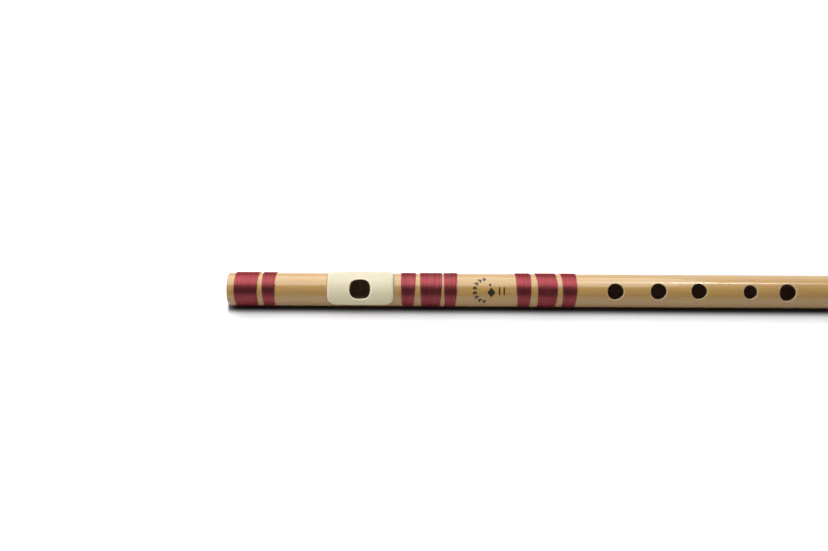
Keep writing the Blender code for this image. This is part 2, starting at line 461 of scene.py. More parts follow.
@dataclass(frozen=True)
class ReamedBore(UnlacqueredPvc):
    """The bore, reamed and smoked: dull, even, light brown near its ends."""

    name: str = "reamed_smoked_bore"


@dataclass(frozen=True)
class ShadedHoleWall(UnlacqueredPvc):
    """The walls of the holes, a near-black brown that paints the shade inside them."""

    name: str = "painted_shade_hole_wall"
    # Near-black: painted shade on the hole walls.
    ground_brown: str = "3A2A1E"
    patch_brown: str = "5A4534"


@dataclass(frozen=True)
class PolishedIvoryResin(Finish):
    """Cast ivory-coloured resin, filed to shape and buffed.

    It gives a creamy, slightly see-through body with soft clouds and a soft gloss. It is paler round the
    embouchure and towards the side that faces down: partly lip wear, partly painted light, a bright rim
    round the hole and a lift against the shade low on the plate.
    """

    name: str = "buffed_ivory_resin"
    cream: str = "DDD9C8"
    straw: str = "D9D1B7"
    pale_and_lit: str = "FEF3D5"
    pale_and_lit_share: float = 0.95
    cloud: float = 7 * MM
    cloud_span: Point = (0.35, 0.7)
    buffing: float = 0.6 * MM
    buffing_depth: float = 0.01 * MM
    gloss: Point = (0.34, 0.46)

    def inputs(self, tree: Tree, place: Socket) -> dict[str, Any]:
        """Builds the pattern and returns what feeds the surface, by input."""
        clouds, _ = self.drift(tree, place, self.cloud, span=self.cloud_span)
        # The paling: partly lip wear, partly painted light on the rim and the lower side.
        worn = add_node(tree, "ShaderNodeAttribute", attribute_name="worn").outputs["Fac"]
        pale_and_lit = add_node(tree, "ShaderNodeMath", {0: worn, 1: self.pale_and_lit_share}, operation="MULTIPLY")
        rough, buffing = self.drift(tree, place, self.buffing, self.gloss, detail=4.0)
        height = {"Height": buffing, "Distance": self.buffing_depth, "Strength": 0.35}
        return {
            "Base Color": self.layered(tree, self.cream, (clouds, self.straw), (pale_and_lit, self.pale_and_lit)),
            "Diffuse Roughness": 0.6,
            "Roughness": rough,
            "Normal": add_node(tree, "ShaderNodeBump", height),
            "IOR": 1.5,
            "Subsurface Weight": 0.3,
            "Subsurface Radius": (1.0, 0.9, 0.75),
            "Subsurface Scale": 1.5 * MM,
            "Specular IOR Level": 0.25,
        }


@dataclass(frozen=True)
class PaintedPlateShade(Finish):
    """Contact glue, squeezed out round the lip plate and wiped along it with a fingertip.

    A hairline of dull amber brown on the pipe round the lip plate: painted shade where the plate
    meets the pipe.

    It is thick and thin by turns.
    """

    name: str = "painted_plate_edge_shade"
    amber: str = "8F6C3E"
    thin: str = "A98550"
    shade_streak: float = 1.2 * MM
    dullness: Point = (0.4, 0.6)

    def inputs(self, tree: Tree, place: Socket) -> dict[str, Any]:
        """Builds the pattern and returns what feeds the surface, by input."""
        rough, shade_streaks = self.drift(tree, place, self.shade_streak, self.dullness)
        return {"Base Color": self.layered(tree, self.amber, (shade_streaks, self.thin)), "Roughness": rough}


@dataclass(frozen=True)
class RayonThread(Finish):
    """Twisted viscose rayon embroidery thread, dyed crimson and laid close.

    It gives the deep wine red of dyed fibres between the turns, a bright silky gloss tinted by the
    dye across them, and fine slanting lines where the plies twist, painted darker in their grooves as
    shade.
    """

    name: str = "twisted_crimson_rayon"
    crimson: str = "A8545B"
    wine: str = "863B42"
    gloss: str = "F0A09A"
    fuzz: str = "E58A86"
    dye_rate: float = 0.55
    dye_span: Point = (0.3, 0.7)
    ply_length: float = 0.9 * MM
    ply_slant: float = 2.0
    ply_depth: float = 0.02 * MM
    groove_shade_span: Point = (-1.0, -0.2)
    groove_shade_ends: Point = (0.35, 0.0)
    mean_radius: float = 9.7 * MM
    fibre: float = 1.5 * MM
    roughness: Point = (0.27, 0.38)

    def inputs(self, tree: Tree, place: Socket) -> dict[str, Any]:
        """Builds the pattern and returns what feeds the surface, by input."""
        turn = add_node(tree, "ShaderNodeAttribute", attribute_name="turn").outputs["Fac"]
        around = add_node(tree, "ShaderNodeAttribute", attribute_name="round").outputs["Fac"]
        dye_place = add_node(tree, "ShaderNodeMath", {0: turn, 1: self.dye_rate}, operation="MULTIPLY")
        batch = {"W": dye_place, "Scale": 1.0, "Detail": 2.0, "Roughness": 0.7}
        dye = add_node(tree, "ShaderNodeTexNoise", batch, noise_dimensions="1D")
        dyed = add_node(tree, "ShaderNodeMapRange", {"Value": dye, **limits(self.dye_span)})
        plies_each_turn = FULL_TURN * self.mean_radius / self.ply_length
        along = add_node(tree, "ShaderNodeMath", {0: turn, 1: plies_each_turn}, operation="MULTIPLY")
        leaning = {0: around, 1: self.ply_slant, 2: along}
        slant = add_node(tree, "ShaderNodeMath", leaning, operation="MULTIPLY_ADD")
        angle = add_node(tree, "ShaderNodeMath", {0: slant, 1: FULL_TURN}, operation="MULTIPLY")
        twist = add_node(tree, "ShaderNodeMath", {0: angle}, operation="SINE")
        # Painted shade: the ply grooves are coloured a darker wine.
        groove_shade_limits = limits(self.groove_shade_span, self.groove_shade_ends)
        painted_groove_shade = add_node(tree, "ShaderNodeMapRange", {"Value": twist, **groove_shade_limits})
        rough, _ = self.drift(tree, place, self.fibre, self.roughness, detail=4.0)
        height = {"Height": twist, "Distance": self.ply_depth, "Strength": 0.4}
        return {
            "Base Color": self.layered(tree, self.wine, (dyed, self.crimson), (painted_groove_shade, self.wine)),
            "Roughness": rough,
            "Normal": add_node(tree, "ShaderNodeBump", height),
            "IOR": 1.53,
            "Metallic": 0.9,
            "Specular Tint": linear(self.gloss),
            "Sheen Weight": 0.1,
            "Sheen Roughness": 0.4,
            "Sheen Tint": linear(self.fuzz),
        }


@dataclass(frozen=True)
class NaturalCork(Finish):
    """A plug turned from one piece of natural cork.

    It gives a matte warm brown with fine cells, and dark pores that run across the plug.
    """

    name: str = "turned_natural_cork"
    bark: str = "B98A58"
    pale: str = "CFA878"
    pore: str = "5A3A20"
    cell: float = 0.35 * MM
    pore_spacing: float = 2.2 * MM
    pore_stretch: float = 0.35
    pore_span: Point = (0.12, 0.24)
    pore_ends: Point = (0.9, 0.0)
    pore_depth: float = 0.2 * MM

    def inputs(self, tree: Tree, place: Socket) -> dict[str, Any]:
        """Builds the pattern and returns what feeds the surface, by input."""
        cells = add_node(tree, "ShaderNodeTexNoise", {"Vector": place, "Scale": 1 / self.cell, "Detail": 3.0})
        stretched = {"Vector": place, "Scale": (1.0, 1.0, self.pore_stretch)}
        across = add_node(tree, "ShaderNodeMapping", stretched)
        spots = add_node(tree, "ShaderNodeTexVoronoi", {"Vector": across, "Scale": 1 / self.pore_spacing})
        dark = limits(self.pore_span, self.pore_ends)
        pores = add_node(tree, "ShaderNodeMapRange", {"Value": spots, **dark})
        depth = add_node(tree, "ShaderNodeMath", {0: cells, 1: pores}, operation="SUBTRACT")
        height = {"Height": depth, "Distance": self.pore_depth, "Strength": 0.6}
        return {
            "Base Color": self.layered(tree, self.bark, (cells, self.pale), (pores, self.pore)),
            "Roughness": 0.85,
            "Normal": add_node(tree, "ShaderNodeBump", height),
        }


@dataclass(frozen=True)
class PadPrintedInk(Finish):
    """Solvent ink, pad printed on the lacquer.

    It gives a thin black-brown film, satin, a little worn through to brown at its edges.
    """

    name: str = "pad_printed_ink"
    black: str = "1C1712"
    worn: str = "4A3A28"
    wear: float = 0.5 * MM
    wear_span: Point = (0.5, 0.8)
    satin: Point = (0.35, 0.55)

    def inputs(self, tree: Tree, place: Socket) -> dict[str, Any]:
        """Builds the pattern and returns what feeds the surface, by input."""
        amount, wear = self.drift(tree, place, self.wear, span=self.wear_span)
        rough = add_node(tree, "ShaderNodeMapRange", {"Value": wear, **limits((0.0, 1.0), self.satin)})
        return {"Base Color": self.layered(tree, self.black, (amount, self.worn)), "Roughness": rough}


@dataclass(frozen=True)
class PaperSweep(Finish):
    """Matte white background paper.

    It gives plain white with a painted shadow: close to the flute its colour turns grey and its glow
    for the camera fades out. Away from the flute the camera sees it pure white.
    """

    name: str = "matte_background_paper"
    paper: str = "DDDDDF"
    glow: str = "F8F9FF"
    # The grey of the shadow painted on the paper next to the flute.
    painted_shadow_grey: str = "565456"
    camera_lift: float = 0.5
    end_steepness: float = 4.0
    core_span: Point = (5.5 * MM, 11.0 * MM)
    tail_span: Point = (8.0 * MM, 19.0 * MM)
    tail_share: float = 0.2
    far_span: Point = (100 * MM, 600 * MM)
    tooth: float = 0.8 * MM
    tooth_depth: float = 0.02 * MM

    def inputs(self, tree: Tree, place: Socket) -> dict[str, Any]:
        """Builds the pattern and returns what feeds the surface, by input."""
        parts = add_node(tree, "ShaderNodeSeparateXYZ", {0: place}).outputs
        beyond = add_node(tree, "ShaderNodeMath", {0: parts[0]}, operation="ABSOLUTE")
        past_end = add_node(tree, "ShaderNodeMath", {0: beyond, 1: LIE.length / 2}, operation="SUBTRACT")
        clear = add_node(tree, "ShaderNodeMath", {0: past_end, 1: 0.0}, operation="MAXIMUM")
        steep = add_node(tree, "ShaderNodeMath", {0: clear, 1: self.end_steepness}, operation="MULTIPLY")
        away = add_node(tree, "ShaderNodeCombineXYZ", {0: steep, 1: parts[1]})
        distance = add_node(tree, "ShaderNodeVectorMath", {0: away}, operation="LENGTH").outputs["Value"]
        # Painted shadow: near the flute the paper turns grey and loses its glow, by distance alone.
        near = {"Value": distance, **limits(self.core_span)}
        core = add_node(tree, "ShaderNodeMapRange", near, interpolation_type="SMOOTHSTEP")
        tail = add_node(tree, "ShaderNodeMapRange", {"Value": distance, **limits(self.tail_span)})
        white = add_node(tree, "ShaderNodeMix", {0: self.tail_share, 2: core, 3: tail})
        open_floor = {"Value": distance, **limits(self.far_span, (self.camera_lift, 1.0))}
        far = add_node(tree, "ShaderNodeMapRange", open_floor)
        seen = add_node(tree, "ShaderNodeLightPath").outputs["Is Camera Ray"]
        lift = add_node(tree, "ShaderNodeMath", {0: seen, 1: far}, operation="MULTIPLY")
        strength = add_node(tree, "ShaderNodeMath", {0: white, 1: lift}, operation="MULTIPLY")
        teeth = {"Vector": place, "Scale": 1 / self.tooth, "Detail": 3.0}
        grain = add_node(tree, "ShaderNodeTexNoise", teeth)
        height = {"Height": grain, "Distance": self.tooth_depth, "Strength": 0.2}
        return {
            "Base Color": self.layered(tree, self.painted_shadow_grey, (white, self.paper)),
            "Roughness": 0.9,
            "Specular IOR Level": 0.1,
            "Normal": add_node(tree, "ShaderNodeBump", height),
            "Emission Color": linear(self.glow),
            "Emission Strength": strength,
        }


@dataclass(frozen=True)
class Hole:
    """One hole through the wall, its outline a superellipse seen straight on."""

    place: float
    across: float
    length: float
    width: float
    rim: float = 0.4 * MM
    squareness: float = 2.0
    sides: int = 72
    rim_rows: int = 5
    cutter_height: float = 2 * MM

    def outline(self, outset: float) -> list[Point]:
        """Returns the outline grown outwards by an amount, as places along and across the tube."""
        half_length, half_width = self.length / 2, self.width / 2
        base = [Vector(p) for p in superellipse(half_length, half_width, self.squareness, self.sides)]
        grown = []
        for j, point in enumerate(base):
            ahead = base[(j + 1) % self.sides] - base[j - 1]
            moved = point + Vector((ahead.y, -ahead.x)).normalized() * outset
            grown.append((self.place + moved.x, self.across + moved.y))
        return grown

    def wrapped(self, outset: float, radius: float) -> list[Point]:
        """Returns the grown outline on a round surface, as places along the tube and angles round it."""
        return [(place, math.asin(across / radius)) for place, across in self.outline(outset)]

    def rim_steps(self) -> list[Point]:
        """Returns the rounded rim as pairs of outset and depth, from the wall up to the surface."""
        angles = quarter(self.rim_rows - 1)
        return [(self.rim * (1 - math.cos(a)), self.rim * (1 - math.sin(a))) for a in angles]

    def ring(self, outset: float, radius: float, depth: float) -> Row:
        """Returns the outline laid on a round surface of a radius and sunk by a depth."""
        return [Vector((x, y, math.sqrt(radius**2 - y**2) - depth)) for x, y in self.outline(outset)]

    def cutter(self, surface_radius: float, inside: float) -> bmesh.types.BMesh:
        """Makes the solid that cuts this hole, with its rim rounded over at a surface.

        Args:
            surface_radius: radius of the surface that the rim is rounded over.
            inside: how far down from that surface the cutter reaches.

        Returns:
            The solid.
        """
        rows = [self.ring(0.0, surface_radius, inside)]
        rows += [self.ring(outset, surface_radius, depth) for outset, depth in self.rim_steps()]
        rows.append(self.ring(self.rim, surface_radius, -self.cutter_height))
        return loft(rows, around=True, along=False)


FINGER_HOLES = tuple(
    Hole(place * MM, across * MM, length * MM, width * MM)
    for place, across, length, width in (
        (220.3, -0.25, 9.15, 9.0),
        (244.6, -0.1, 9.05, 8.95),
        (267.5, 0.1, 8.8, 8.7),
        (296.5, -0.15, 7.65, 7.75),
        (317.6, -0.4, 9.4, 9.45),
        (349.6, -0.1, 8.25, 8.25),
    )
)
EMBOUCHURE = Hole(75.6 * MM, 0.35 * MM, 11.7 * MM, 10.95 * MM, 0.45 * MM, squareness=2.7)


@dataclass(frozen=True)
class Tube:
    """The pipe, with its rounded ends, six finger holes and the opening under the lip plate."""

    length: float = 406.4 * MM
    radius: float = 9.525 * MM
    bore: float = 7.75 * MM
    outer_edge: float = 0.7 * MM
    inner_edge: float = 0.4 * MM
    edge_steps: int = 4
    ring_spacing: float = 3 * MM
    sides: int = 144
    drill_depth: float = 5 * MM
    lacquered_depth: float = 0.38 * MM
    wall_margin: float = 0.1 * MM
    skin: float = 0.002 * MM

    def rows(self) -> list[Row]:
        """Returns the rings of the wall: head edge, outside, foot edge and bore."""
        outer = rounded_end(self.outer_edge, self.radius, -1, self.edge_steps)
        inner = rounded_end(self.inner_edge, self.bore, 1, self.edge_steps)[::-1]
        foot = [(self.length - place, radius) for place, radius in reversed(inner + outer)]
        count = round((self.length - 2 * self.outer_edge) / self.ring_spacing)
        first, last = self.outer_edge, self.length - self.outer_edge
        outside = [(first + (last - first) * i / count, self.radius) for i in range(1, count)]
        first, last = self.length - self.inner_edge, self.inner_edge
        inside = [(first + (last - first) * i / count, self.bore) for i in range(1, count)]
        return revolve(outer + outside + foot + inside + inner, self.sides)

    def build(self) -> Piece:
        """Returns the finished pipe."""
        piece = finished("tan_tube", loft(self.rows(), around=True, along=True))
        cutters = bmesh.new()
        for hole in (*FINGER_HOLES, EMBOUCHURE):
            scratch = bpy.data.meshes.new("hole")
            hole.cutter(self.radius, self.drill_depth).to_mesh(scratch)
            cutters.from_mesh(scratch)
            bpy.data.meshes.remove(scratch)
        drill = finished("hole_cutters", cutters)
        cut = piece.modifiers.new("holes", "BOOLEAN")
        cut.operation = "DIFFERENCE"
        cut.solver = "EXACT"
        cut.object = drill
        keep_result(piece)
        shade(piece.data)
        bpy.data.objects.remove(drill)
        self.dress(piece.data)
        return piece

    def dress(self, mesh: bpy.types.Mesh) -> None:
        """Gives the outside and the rims lacquer, the bore its smoked brown and the hole walls their
        near-black painted shade.
        """
        mesh.materials.clear()
        for finish in (LacqueredPvc(), ReamedBore(), ShadedHoleWall()):
            mesh.materials.append(finish.material())
        upright = LIE.matrix().inverted()
        for face in mesh.polygons:
            centre = upright @ face.center
            radius = math.hypot(centre.y, centre.z)
            near_end = min(centre.x, self.length - centre.x) < self.inner_edge
            if near_end or radius > self.radius - self.lacquered_depth:
                face.material_index = 0
            else:
                face.material_index = 1 if radius < self.bore + self.wall_margin else 2
        self.true_normals(mesh)

    def true_normals(self, mesh: bpy.types.Mesh) -> None:
        """Points the normals of the round outside straight out, because the cuts leave them uneven."""
        upright, turned = LIE.matrix().inverted(), LIE.matrix().to_3x3()
        points = [upright @ vertex.co for vertex in mesh.vertices]
        outside = [math.hypot(point.y, point.z) > self.radius - self.skin for point in points]
        normals = [Vector((0.0, 0.0, 0.0))] * len(mesh.loops)
        for face in mesh.polygons:
            if all(outside[number] for number in face.vertices):
                for loop in face.loop_indices:
                    point = points[mesh.loops[loop].vertex_index]
                    normals[loop] = (turned @ Vector((0.0, point.y, point.z))).normalized()
        mesh.normals_split_custom_set(normals)


@dataclass(frozen=True)
class LipPlate:
    """The ivory plate round the embouchure, filed to sit on the pipe, its edges rounded over."""

    start: float = 57.1 * MM
    end: float = 94.6 * MM
    near_angle: float = math.radians(-58.5)
    far_angle: float = math.radians(89)
    radius: float = 10.65 * MM
    underside: float = 9.53 * MM
    corner: float = 5.8 * MM
    edge_run: float = 2.1 * MM
    edge_drop: float = 0.85 * MM
    edge_steps: int = 7
    # The skirt round the plate's foot that carries the painted shade where it meets the pipe.
    shade_skirt: float = 0.45 * MM
    shade_skirt_film: float = 0.01 * MM
    top_rows: int = 22
    under_rows: int = 6
    rim: float = 0.7 * MM
    # How the plate is paled: partly lip wear, partly painted light round the hole and on its lower side.
    worn_and_lit_share: float = 0.12
    pale_start_angle: float = math.radians(60)
    pale_full_angle: float = math.radians(-30)
    straight: float = 1e-9

    def hole(self) -> Hole:
        """Returns the embouchure with this plate's softer rim."""
        return replace(EMBOUCHURE, rim=self.rim, sides=144, rim_rows=6)

    def outline(self, inset: float) -> list[Point]:
        """Returns the rounded rectangle, drawn in by an inset, as places and angles.

        The points lie on the rays from the embouchure's middle through its own outline.
        """
        low, high = self.near_angle * self.radius + inset, self.far_angle * self.radius - inset
        hole = self.hole()
        middle = hole.place
        left, right = self.start + inset - middle, self.end - inset - middle
        points = []
        for place, angle in hole.wrapped(hole.rim, self.radius):
            ray = Vector((place - middle, self.radius * angle)).normalized()
            side, end = right if ray.x > 0 else left, high if ray.y > 0 else low
            reach = self.ray_reach(ray, side, end, self.corner - inset)
            points.append((middle + ray.x * reach, ray.y * reach / self.radius))
        return points

    def ray_reach(self, ray: Vector, side: float, end: float, corner: float) -> float:
        """Measures how far a ray runs before it meets the rounded rectangle.

        Args:
            ray: its direction, from the middle.
            side: how far along the tube the plate's edge lies on the ray's side.
            end: how far round the tube it lies on the ray's side.
            corner: the corner's radius.

        Returns:
            The distance.
        """
        reach_side = side / ray.x if abs(ray.x) > self.straight else math.inf
        reach_end = end / ray.y if abs(ray.y) > self.straight else math.inf
        reach = min(reach_side, reach_end)
        centre = Vector((side - math.copysign(corner, side), end - math.copysign(corner, end)))
        past = ray * reach - centre
        if past.x * side > 0 and past.y * end > 0:
            along = ray.dot(centre)
            reach = along + math.sqrt(max(0.0, along**2 - centre.length_squared + corner**2))
        return reach

    def build(self) -> Piece:
        """Returns the finished plate."""
        hole = self.hole()
        rows = [hole.ring(0.0, self.underside, 0.0)]
        rows += [hole.ring(outset, self.radius, depth) for outset, depth in hole.rim_steps()]
        rim_end = len(rows)
        inner, outer = hole.wrapped(hole.rim, self.radius), self.outline(self.edge_run)
        rows += [between(inner, outer, i / self.top_rows, self.radius) for i in range(1, self.top_rows + 1)]
        for angle in quarter(self.edge_steps)[1:]:
            edge = self.outline(self.edge_run * (1 - math.sin(angle)))
            rows.append(laid(edge, self.radius - self.edge_drop * (1 - math.cos(angle))))
        # A thin skirt from the plate's foot onto the pipe carries the painted shade where they meet.
        shade_row = len(rows) - 1
        rows.append(laid(self.outline(-self.shade_skirt), self.underside + self.shade_skirt_film))
        edge, under = self.outline(0.0), hole.wrapped(0.0, self.underside)
        rows.append(laid(edge, self.underside))
        rows += [between(edge, under, i / self.under_rows, self.underside) for i in range(1, self.under_rows)]
        piece = finished("ivory_lip_plate", loft(rows, around=True, along=True))
        for finish in (PolishedIvoryResin(), PaintedPlateShade()):
            piece.data.materials.append(finish.material())
        for face in piece.data.polygons[shade_row * hole.sides : (shade_row + 1) * hole.sides]:
            face.material_index = 1
        self.mark_worn_and_lit(piece.data, rows, rim_end)
        return piece

    def mark_worn_and_lit(self, mesh: bpy.types.Mesh, rows: list[Row], rim_end: int) -> None:
        """Marks how pale each point is made, most round the hole and towards the side that faces down: partly
        lip wear, partly painted light.

        Args:
            mesh: the plate's mesh.
            rows: the rows of upright points that it was made from.
            rim_end: how many of the rows belong to the hole.
        """
        worn = mesh.attributes.new("worn", "FLOAT", "POINT")
        lower_side_span = self.pale_start_angle - self.pale_full_angle
        for row, points in enumerate(rows):
            round_hole = 1.0 - max(0, row - rim_end + 1) / (self.worn_and_lit_share * self.top_rows)
            for number, point in enumerate(points):
                lower_side_lift = (self.pale_start_angle - math.atan2(point.y, point.z)) / lower_side_span
                worn.data[row * len(points) + number].value = min(1.0, max(0.0, round_hole, lower_side_lift))


@dataclass(frozen=True)
class Stopper:
    """The cork that closes the bore on the head side of the embouchure."""

    face: float = EMBOUCHURE.place - 13.0 * MM
    length: float = 18 * MM
    radius: float = 7.72 * MM
    edge: float = 0.5 * MM
    edge_steps: int = 4
    face_rings: Point = (1.5 * MM, 4.5 * MM)
    spans: int = 8
    sides: int = 96

    def build(self) -> Piece:
        """Returns the finished cork."""
        back = self.face - self.length
        half = [(0.0, radius) for radius in self.face_rings]
        half += rounded_end(self.edge, self.radius, -1, self.edge_steps)
        head = [(back + place, radius) for place, radius in half]
        foot = [(self.face - place, radius) for place, radius in reversed(half)]
        body = [(back + self.length * i / self.spans, self.radius) for i in range(1, self.spans)]
        piece = finished("cork_plug", loft(revolve(head + body + foot, self.sides), around=True, along=False))
        piece.data.materials.append(NaturalCork().material())
        return piece


@dataclass(frozen=True)
class Winding:
    """One thread binding: where it starts and ends, and how each end leans and bows round the pipe.

    A lean is how much further along the edge lies on the far side of the holes than on the near
    side, and a bow how much further along it lies at the holes, both in metres.
    """

    name: str
    start: float
    end: float
    start_lean: float
    end_lean: float
    start_bow: float
    end_bow: float
    seed: int


WINDINGS = tuple(
    Winding(name, *(value * MM for value in sizes), seed)
    for seed, (name, sizes) in enumerate(
        (
            ("head_binding_wide", (4.1, 17.7, -0.1, 0.5, -0.55, 0.2)),
            ("head_binding_narrow", (20.0, 27.5, -0.5, 0.5, -0.4, 0.1)),
            ("lip_binding_near", (98.9, 106.8, -0.5, 0.7, -0.4, 0.3)),
            ("lip_binding_wide", (109.8, 122.0, -0.5, 0.6, -0.4, 0.2)),
            ("lip_binding_far", (123.3, 130.6, -0.4, 0.8, -0.3, 0.2)),
            ("hand_binding_near", (164.4, 172.5, -0.6, 0.3, -0.35, 0.15)),
            ("hand_binding_wide", (176.0, 187.4, -0.4, 0.4, 0.0, 0.3)),
            ("hand_binding_far", (190.1, 198.5, -0.4, 0.3, 0.0, 0.2)),
            ("foot_binding_narrow", (379.1, 386.6, 0.3, 0.1, -0.3, 0.1)),
            ("foot_binding_wide", (389.0, 402.4, -0.3, 0.2, -0.4, 0.2)),
        ),
        start=1,
    )
)


@dataclass(frozen=True)
class ThreadWinder:
    """Winds thread round the pipe: one helix for each binding, from one geometry tree."""

    thread: float = 0.38 * MM
    crest: float = 9.93 * MM
    steps_each_turn: int = 72
    thread_sides: int = 8
    section_share: float = 0.54
    wander: float = 0.07 * MM
    wander_rate: float = 0.8
    seed_spacing: float = 37.0
    swell: float = 0.02 * MM
    bow_middle: float = 0.7
    dive: float = 0.3 * MM
    dive_turns: float = 0.12

    def steps(self) -> tuple[tuple[Any, ...], ...]:
        """Returns the sums behind the thread's path: for each its name, its operation and its inputs."""
        return (
            ("last", "SUBTRACT", "Points", 1.0),
            ("part", "DIVIDE", "index", "last"),
            ("turn", "MULTIPLY", "part", "Turns"),
            ("angle", "MULTIPLY_ADD", "turn", FULL_TURN, "Seed"),
            ("sine", "SINE", "angle"),
            ("cosine", "COSINE", "angle"),
            ("lean change", "SUBTRACT", "End Lean", "Start Lean"),
            ("lean", "MULTIPLY_ADD", "lean change", "part", "Start Lean"),
            ("bow change", "SUBTRACT", "End Bow", "Start Bow"),
            ("bow", "MULTIPLY_ADD", "bow change", "part", "Start Bow"),
            ("noise turn", "MULTIPLY", "turn", self.wander_rate),
            ("noise place", "MULTIPLY_ADD", "Seed", self.seed_spacing, "noise turn"),
            ("uneven", "SUBTRACT", "noise", 0.5),
            ("wander", "MULTIPLY", "uneven", 2 * self.wander),
            ("swell", "MULTIPLY", "noise", self.swell),
            ("room", "SUBTRACT", "Length", "Thread"),
            ("half thread", "MULTIPLY", "Thread", 0.5),
            ("even", "MULTIPLY_ADD", "part", "room", "Start"),
            ("centred", "ADD", "even", "half thread"),
            ("leaning", "MULTIPLY_ADD", "lean", "sine", "centred"),
            ("bow side", "SUBTRACT", "cosine", self.bow_middle),
            ("bowed", "MULTIPLY_ADD", "bow", "bow side", "leaning"),
            ("place", "ADD", "bowed", "wander"),
            ("to end", "SUBTRACT", "Turns", "turn"),
            ("left", "MINIMUM", "turn", "to end"),
            ("full", "SUBTRACT", "Crest", "half thread"),
            ("swollen", "SUBTRACT", "full", "swell"),
            ("radius", "SUBTRACT", "swollen", "under"),
            ("across", "MULTIPLY", "radius", "sine"),
            ("height", "MULTIPLY", "radius", "cosine"),
            ("section", "MULTIPLY", "Thread", self.section_share),
        )

    def path(self, tree: Tree, given: Any) -> dict[str, Any]:
        """Adds the sums behind the thread's path.

        Args:
            tree: the tree to add them to.
            given: the group's inputs.

        Returns:
            Every input and sum by name.
        """
        known: dict[str, Any] = {socket.name: socket for socket in given}
        known["index"] = add_node(tree, "GeometryNodeInputIndex")
        noise = {"Scale": 1.0, "Detail": 1.0}
        known["noise"] = add_node(tree, "ShaderNodeTexNoise", noise, noise_dimensions="1D")
        dive = limits((0.0, self.dive_turns), (self.dive, 0.0))
        known["under"] = add_node(tree, "ShaderNodeMapRange", dive, interpolation_type="SMOOTHSTEP")
        for name, operation, *inputs in self.steps():
            links = {number: known.get(value, value) for number, value in enumerate(inputs)}
            known[name] = add_node(tree, "ShaderNodeMath", links, operation=operation)
        tree.links.new(known["noise place"].outputs[0], known["noise"].inputs["W"])
        tree.links.new(known["left"].outputs[0], known["under"].inputs["Value"])
        return known

    def tree(self) -> Tree:
        """Returns the geometry tree, built the first time it is asked for."""
        found = bpy.data.node_groups.get("wound_thread")
        if found is not None:
            return found
        tree = bpy.data.node_groups.new("wound_thread", "GeometryNodeTree")
        tree.interface.new_socket("Geometry", in_out="OUTPUT", socket_type="NodeSocketGeometry")
        ends = ("Start", "Length", "Start Lean", "End Lean", "Start Bow", "End Bow")
        for name in (*ends, "Turns", "Thread", "Crest", "Seed"):
            tree.interface.new_socket(name, in_out="INPUT", socket_type="NodeSocketFloat")
        tree.interface.new_socket("Points", in_out="INPUT", socket_type="NodeSocketInt")
        tree.interface.new_socket("Finish", in_out="INPUT", socket_type="NodeSocketMaterial")
        given = add_node(tree, "NodeGroupInput").outputs
        known = self.path(tree, given)
        point = {0: known["place"], 1: known["across"], 2: known["height"]}
        position = add_node(tree, "ShaderNodeCombineXYZ", point)
        line = add_node(tree, "GeometryNodeMeshLine", {"Count": given["Points"]})
        curve = add_node(tree, "GeometryNodeMeshToCurve", {0: line})
        stored = {"data_type": "FLOAT", "domain": "POINT"}
        turns = {"Geometry": curve, "Name": "turn", "Value": known["turn"]}
        marked = add_node(tree, "GeometryNodeStoreNamedAttribute", turns, **stored)
        helix = add_node(tree, "GeometryNodeSetPosition", {"Geometry": marked, "Position": position})
        circle = {"Resolution": self.thread_sides, "Radius": known["section"]}
        section = add_node(tree, "GeometryNodeCurvePrimitiveCircle", circle)
        section_part = add_node(tree, "GeometryNodeSplineParameter").outputs["Factor"]
        rounds = {"Geometry": section, "Name": "round", "Value": section_part}
        section_marked = add_node(tree, "GeometryNodeStoreNamedAttribute", rounds, **stored)
        swept = {"Curve": helix, "Profile Curve": section_marked, "Fill Caps": True}
        skin = add_node(tree, "GeometryNodeCurveToMesh", swept)
        smooth = add_node(tree, "GeometryNodeSetShadeSmooth", {0: skin})
        real = add_node(tree, "GeometryNodeRealizeInstances", {0: smooth})
        dressed = add_node(tree, "GeometryNodeSetMaterial", {"Geometry": real, "Material": given["Finish"]})
        add_node(tree, "NodeGroupOutput", {0: dressed})
        return tree

    def wind(self, winding: Winding) -> Piece:
        """Returns one finished binding, laid on the pipe and pressed flat where it meets the floor."""
        length = winding.end - winding.start
        turns = length / self.thread - 1
        tree = self.tree()
        values = {
            "Start": winding.start,
            "Length": length,
            "Start Lean": winding.start_lean,
            "End Lean": winding.end_lean,
            "Start Bow": winding.start_bow,
            "End Bow": winding.end_bow,
            "Turns": turns,
            "Thread": self.thread,
            "Crest": self.crest,
            "Seed": float(winding.seed),
            "Points": round(turns * self.steps_each_turn) + 1,
            "Finish": RayonThread().material(),
        }
        piece = bpy.data.objects.new("red_" + winding.name, bpy.data.meshes.new(winding.name))
        bpy.context.scene.collection.objects.link(piece)
        winder = piece.modifiers.new("winding", "NODES")
        winder.node_group = tree
        for item in tree.interface.items_tree:
            if item.in_out == "INPUT":
                winder[item.identifier] = values[item.name]
        keep_result(piece)
        piece.data.transform(LIE.matrix())
        for vertex in piece.data.vertices:
            vertex.co.z = max(vertex.co.z, 0.0)
        return piece


